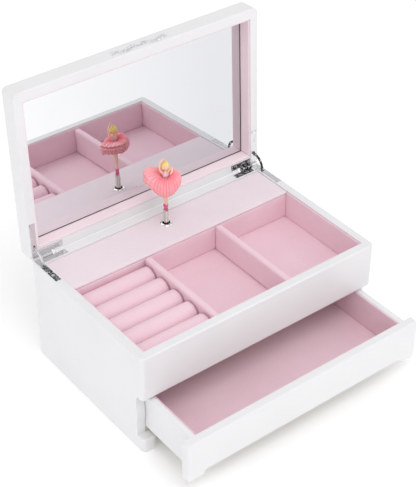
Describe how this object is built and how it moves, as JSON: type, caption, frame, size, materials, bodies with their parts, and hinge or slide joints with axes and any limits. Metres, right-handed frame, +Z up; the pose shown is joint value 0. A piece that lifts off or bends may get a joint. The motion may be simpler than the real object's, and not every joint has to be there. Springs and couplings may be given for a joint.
{
  "type": "wind up music box",
  "caption": "White jewellery box with a hinged mirror lid, velvet compartments, a drawer and a spinning dancer driven by a wind-up comb movement.",
  "frame": {"origin": "bottom centre of the whole open box as stored (lid open, drawer pulled out), on the surface it stands on", "axes": "+Z up, -Y out of the front (the drawer's side), +X to the right as seen from the front"},
  "size_m": [0.255, 0.2521, 0.2687],
  "materials": {
    "white_lacquer": "satin white lacquer",
    "bare_board": "unpainted fibreboard",
    "pink_velvet": "short pile velvet",
    "mirror_glass": "polished silvered glass",
    "chrome_steel": "polished",
    "screw_steel": "plated",
    "ornament_silver": "silvered",
    "zinc_plate": "satin",
    "comb_steel": "ground",
    "brass": "satin",
    "spring_steel": "blued",
    "dancer_plastic": "painted mouldings",
    "net_coral": "stiff net",
    "key_steel": "nickel plated"
  },
  "bodies": {
    "case": {"left_side_panel": "white_lacquer", "right_side_panel": "white_lacquer", "back_panel": "white_lacquer", "front_fascia": "white_lacquer", "front_feet": "white_lacquer", "middle_board": "bare_board", "base_panel": "bare_board", "tray_floor": "bare_board", "bay_front_wall": "bare_board", "support_battens": "bare_board", "music_deck": "pink_velvet", "spindle_eyelet": "chrome_steel", "tray_linings": "pink_velvet", "tray_dividers": "pink_velvet", "ring_roll_base": "pink_velvet", "ring_rolls": "pink_velvet", "left_case_hinge_leaf": "chrome_steel", "right_case_hinge_leaf": "chrome_steel", "case_hinge_screws": "screw_steel", "hinge_pins": "screw_steel", "movement_bedplate": "zinc_plate", "music_comb": "comb_steel", "comb_base": "zinc_plate", "movement_screws": "screw_steel", "cylinder_bracket": "zinc_plate", "governor_frame": "zinc_plate", "spindle_bracket": "zinc_plate"},
    "lid": {"lid_rail_left": "white_lacquer", "lid_rail_right": "white_lacquer", "lid_rail_back": "white_lacquer", "lid_rail_front": "white_lacquer", "lid_top_panel": "white_lacquer", "lid_mirror": "mirror_glass", "lid_linings": "pink_velvet", "left_lid_hinge_leaf": "chrome_steel", "right_lid_hinge_leaf": "chrome_steel", "lid_hinge_screws": "screw_steel", "lid_ornament": "ornament_silver"},
    "stays": {"stay_arms": "chrome_steel"},
    "drawer": {"drawer_front": "white_lacquer", "drawer_side_left": "white_lacquer", "drawer_side_right": "white_lacquer", "drawer_back": "white_lacquer", "drawer_bottom": "bare_board", "drawer_floor_lining": "pink_velvet", "drawer_wall_linings": "pink_velvet"},
    "drum": {"spring_drum": "brass", "mainspring": "spring_steel"},
    "winder": {"winding_arbor": "screw_steel", "winding_key": "key_steel"},
    "cylinder": {"music_cylinder": "brass", "cylinder_pins": "comb_steel"},
    "governor_wheel": {"governor_wheel": "brass"},
    "governor_worm": {"governor_worm": "screw_steel", "governor_fly": "brass"},
    "stop": {"stop_wire": "spring_steel"},
    "spindle": {"dancer_spindle": "brass"},
    "dancer_post": {"dancer_spring": "spring_steel"},
    "dancer": {"dancer_figure": "dancer_plastic", "dancer_tutu": "net_coral"}
  },
  "joints": [
    {"name": "lid_hinge", "type": "hinge", "parent": "case", "child": "lid", "pos_m": [0, 0.0994, 0.1045], "axis": [1, 0, 0], "range_deg": [0, 92.5]},
    {"name": "stay_swing", "type": "hinge", "parent": "case", "child": "stays", "pos_m": [0, 0.0994, 0.1045], "axis": [1, 0, 0], "range_deg": [0, 46.5]},
    {"name": "drawer_slide", "type": "slide", "parent": "case", "child": "drawer", "axis": [0, 1, 0], "range_m": [-0.035, 0.0615]},
    {"name": "cylinder_spin", "type": "hinge", "parent": "case", "child": "cylinder", "pos_m": [-0.03, 0.0749, 0.0774], "axis": [1, 0, 0], "continuous": true},
    {"name": "drum_spin", "type": "hinge", "parent": "case", "child": "drum", "pos_m": [0, 0.084, 0.0774], "axis": [0, 1, 0], "continuous": true},
    {"name": "spindle_spin", "type": "hinge", "parent": "case", "child": "spindle", "pos_m": [0, 0.0749, 0.095], "axis": [0, 0, 1], "continuous": true},
    {"name": "governor_wheel_spin", "type": "hinge", "parent": "case", "child": "governor_wheel", "pos_m": [-0.045, 0.0749, 0.0684], "axis": [1, 0, 0], "continuous": true},
    {"name": "governor_worm_spin", "type": "hinge", "parent": "case", "child": "governor_worm", "pos_m": [-0.046, 0.06865, 0.075], "axis": [0, 0, 1], "continuous": true},
    {"name": "key_turn", "type": "hinge", "parent": "case", "child": "winder", "pos_m": [0, 0.1, 0.0774], "axis": [0, 1, 0], "continuous": true},
    {"name": "stop_lift", "type": "slide", "parent": "case", "child": "stop", "axis": [0, 0, -1], "range_m": [0, 0.0025]},
    {"name": "dancer_fold", "type": "hinge", "parent": "case", "child": "dancer_post", "pos_m": [0, 0.0749, 0.111], "axis": [1, 0, 0], "range_deg": [0, 90], "deforming": ["dancer_spring", "dancer_tutu"]},
    {"name": "dancer_spin", "type": "hinge", "parent": "dancer_post", "child": "dancer", "pos_m": [0, 0.0749, 0.12], "axis": [0, 0, 1], "continuous": true}
  ],
  "couplings": [
    {"joint": "stay_swing", "follows": "lid_hinge", "ratio": 0.5},
    {"joint": "dancer_fold", "follows": "lid_hinge", "ratio": 0.97},
    {"joint": "stop_lift", "follows": "lid_hinge", "m_per_rad": 0.0015},
    {"joint": "drum_spin", "follows": "cylinder_spin", "ratio": 0.25},
    {"joint": "spindle_spin", "follows": "cylinder_spin", "ratio": -1},
    {"joint": "dancer_spin", "follows": "cylinder_spin", "ratio": -1},
    {"joint": "governor_wheel_spin", "follows": "cylinder_spin", "ratio": -4},
    {"joint": "governor_worm_spin", "follows": "cylinder_spin", "ratio": -48}
  ]
}
